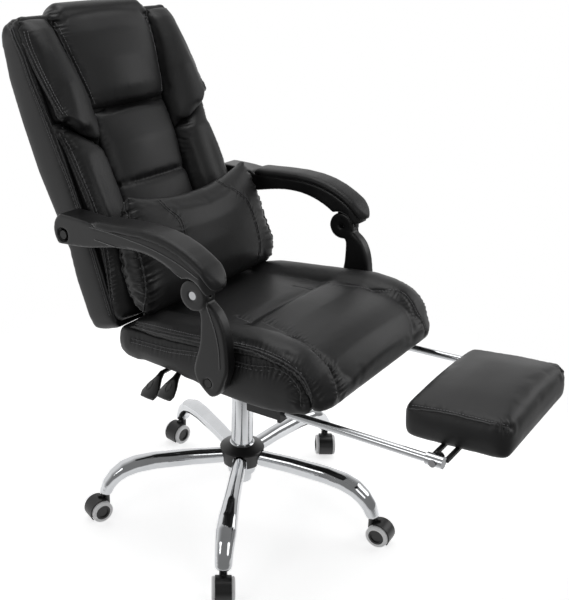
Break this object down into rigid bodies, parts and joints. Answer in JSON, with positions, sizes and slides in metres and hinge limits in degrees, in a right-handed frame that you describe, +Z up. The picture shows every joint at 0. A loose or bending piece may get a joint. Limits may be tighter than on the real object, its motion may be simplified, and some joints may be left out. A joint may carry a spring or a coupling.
{
  "type": "office chair with footrest",
  "caption": "High-backed padded swivel chair with linked loop arms, a loose lumbar pillow, a pull-out footrest and a chrome star base on twin-wheel casters.",
  "frame": {"origin": "on the floor under the axis of the gas lift", "axes": "+Z up, the sitter faces -Y, +X to the sitter's left"},
  "size_m": [0.6621, 1.0907, 1.1185],
  "materials": {
    "chrome": "polished",
    "black_leather": "satin grained",
    "black_plastic": "fine matt",
    "gloss_black": "glossy",
    "black_steel": "satin black paint",
    "bright_steel": "machined",
    "plywood": "unfinished plywood",
    "wheel_tread": "light grey polyurethane"
  },
  "bodies": {
    "base": {"star_base": "chrome", "hub_cover": "black_plastic", "column_ring": "chrome", "lift_outer_tube": "chrome", "lift_guide_bush": "black_plastic", "caster_stems": "bright_steel"},
    "lift_spindle": {"lift_piston_rod": "bright_steel", "lift_thrust_bearing": "bright_steel", "lift_retaining_clip": "bright_steel"},
    "seat": {"lift_pressure_tube": "bright_steel", "seat_mechanism": "black_steel", "seat_board": "plywood", "seat_board_bolts": "bright_steel", "seat_hinge_bracket": "black_steel", "seat_base_cushion": "black_leather", "seat_top_cushion": "black_leather", "footrest_guides": "black_plastic", "arm_foot_bolts": "chrome"},
    "backrest": {"back_bracket": "black_steel", "recline_hinge_pin": "bright_steel", "back_board": "plywood", "back_rear_panel": "black_leather", "back_centre_cushion": "black_leather", "head_pillow": "black_leather", "back_wings": "black_leather", "back_bolsters": "black_leather", "arm_rear_bolts": "bright_steel"},
    "lumbar_pillow": {"lumbar_pillow": "black_leather"},
    "arm_upright_left": {"arm_upright_left": "gloss_black", "arm_knuckle_pin_left": "chrome"},
    "arm_upright_right": {"arm_upright_right": "gloss_black", "arm_knuckle_pin_right": "chrome"},
    "armrest_left": {"armrest_frame_left": "gloss_black", "armrest_pad_left": "black_leather"},
    "armrest_right": {"armrest_frame_right": "gloss_black", "armrest_pad_right": "black_leather"},
    "footrest_slider": {"footrest_rails": "chrome", "footrest_pivot_screws": "bright_steel"},
    "footrest": {"footrest_frame": "black_steel", "footrest_pad": "black_leather"},
    "height_lever": {"height_lever": "gloss_black"},
    "recline_lever": {"recline_lever": "gloss_black"},
    "caster_1": {"caster_hood_1": "gloss_black"},
    "caster_wheels_1": {"caster_wheels_1": "black_plastic", "caster_tyres_1": "wheel_tread"},
    "caster_2": {"caster_hood_2": "gloss_black"},
    "caster_wheels_2": {"caster_wheels_2": "black_plastic", "caster_tyres_2": "wheel_tread"},
    "caster_3": {"caster_hood_3": "gloss_black"},
    "caster_wheels_3": {"caster_wheels_3": "black_plastic", "caster_tyres_3": "wheel_tread"},
    "caster_4": {"caster_hood_4": "gloss_black"},
    "caster_wheels_4": {"caster_wheels_4": "black_plastic", "caster_tyres_4": "wheel_tread"},
    "caster_5": {"caster_hood_5": "gloss_black"},
    "caster_wheels_5": {"caster_wheels_5": "black_plastic", "caster_tyres_5": "wheel_tread"}
  },
  "joints": [
    {"name": "seat_swivel", "type": "hinge", "parent": "base", "child": "lift_spindle", "pos_m": [0, 0, 0.07], "axis": [0, 0, 1], "continuous": true},
    {"name": "seat_height", "type": "slide", "parent": "lift_spindle", "child": "seat", "axis": [0, 0, 1], "range_m": [0, 0.08]},
    {"name": "recline", "type": "hinge", "parent": "seat", "child": "backrest", "pos_m": [0, 0.15, 0.455], "axis": [-1, 0, 0], "range_deg": [-10, 20]},
    {"name": "pillow_lift", "type": "slide", "parent": "backrest", "child": "lumbar_pillow", "axis": [0, 0.3746, 0.9272], "range_m": [-0.024, 0.014]},
    {"name": "upright_turn_left", "type": "hinge", "parent": "seat", "child": "arm_upright_left", "pos_m": [0.264, -0.118, 0.47], "axis": [-1, 0, 0], "range_deg": [-14, 28]},
    {"name": "armrest_turn_left", "type": "hinge", "parent": "arm_upright_left", "child": "armrest_left", "pos_m": [0.264, -0.086, 0.642], "axis": [-1, 0, 0], "range_deg": [-26, 13]},
    {"name": "upright_turn_right", "type": "hinge", "parent": "seat", "child": "arm_upright_right", "pos_m": [-0.264, -0.118, 0.47], "axis": [-1, 0, 0], "range_deg": [-14, 28]},
    {"name": "armrest_turn_right", "type": "hinge", "parent": "arm_upright_right", "child": "armrest_right", "pos_m": [-0.264, -0.086, 0.642], "axis": [-1, 0, 0], "range_deg": [-26, 13]},
    {"name": "footrest_slide", "type": "slide", "parent": "seat", "child": "footrest_slider", "axis": [0, 0.9984, -0.0558], "range_m": [0, 0.28]},
    {"name": "footrest_flip", "type": "hinge", "parent": "footrest_slider", "child": "footrest", "pos_m": [0, -0.54715, 0.43509], "axis": [1, 0, 0], "range_deg": [0, 180.5]},
    {"name": "height_lever", "type": "hinge", "parent": "seat", "child": "height_lever", "pos_m": [-0.066, 0.011, 0.423], "axis": [0, 1, 0], "range_deg": [0, 4], "stiffness_Nm_per_rad": 6, "springref_deg": -2.86},
    {"name": "recline_lever", "type": "hinge", "parent": "seat", "child": "recline_lever", "pos_m": [-0.066, 0.05, 0.415], "axis": [0, 1, 0], "range_deg": [0, 4], "stiffness_Nm_per_rad": 6, "springref_deg": -2.86},
    {"name": "caster_swivel_1", "type": "hinge", "parent": "base", "child": "caster_1", "pos_m": [-0.23743, 0.21454, 0.05], "axis": [0, 0, 1], "continuous": true},
    {"name": "caster_roll_1", "type": "hinge", "parent": "caster_1", "child": "caster_wheels_1", "pos_m": [-0.25639, 0.22092, 0.025], "axis": [-0.319, -0.9478, 0], "continuous": true},
    {"name": "caster_swivel_2", "type": "hinge", "parent": "base", "child": "caster_2", "pos_m": [-0.27741, -0.15952, 0.05], "axis": [0, 0, 1], "continuous": true},
    {"name": "caster_roll_2", "type": "hinge", "parent": "caster_2", "child": "caster_wheels_2", "pos_m": [-0.29308, -0.17194, 0.025], "axis": [0.6211, -0.7837, 0], "continuous": true},
    {"name": "caster_swivel_3", "type": "hinge", "parent": "base", "child": "caster_3", "pos_m": [0.06599, -0.31312, 0.05], "axis": [0, 0, 1], "continuous": true},
    {"name": "caster_roll_3", "type": "hinge", "parent": "caster_3", "child": "caster_wheels_3", "pos_m": [0.06787, -0.33303, 0.025], "axis": [0.9956, 0.0941, 0], "continuous": true},
    {"name": "caster_swivel_4", "type": "hinge", "parent": "base", "child": "caster_4", "pos_m": [0.31819, -0.03401, 0.05], "axis": [0, 0, 1], "continuous": true},
    {"name": "caster_roll_4", "type": "hinge", "parent": "caster_4", "child": "caster_wheels_4", "pos_m": [0.30251, -0.04643, 0.025], "axis": [0.6211, -0.7837, 0], "continuous": true},
    {"name": "caster_swivel_5", "type": "hinge", "parent": "base", "child": "caster_5", "pos_m": [0.13067, 0.29211, 0.05], "axis": [0, 0, 1], "continuous": true},
    {"name": "caster_roll_5", "type": "hinge", "parent": "caster_5", "child": "caster_wheels_5", "pos_m": [0.11076, 0.29406, 0.025], "axis": [-0.0976, -0.9952, 0], "continuous": true}
  ],
  "couplings": [
    {"joint": "pillow_lift", "follows": "recline", "m_per_rad": -0.062},
    {"joint": "upright_turn_left", "follows": "recline", "ratio": 1.3425},
    {"joint": "armrest_turn_left", "follows": "recline", "ratio": -1.2186},
    {"joint": "upright_turn_right", "follows": "recline", "ratio": 1.3425},
    {"joint": "armrest_turn_right", "follows": "recline", "ratio": -1.2186},
    {"joint": "footrest_flip", "follows": "footrest_slide", "rad_per_m": 11.22}
  ]
}
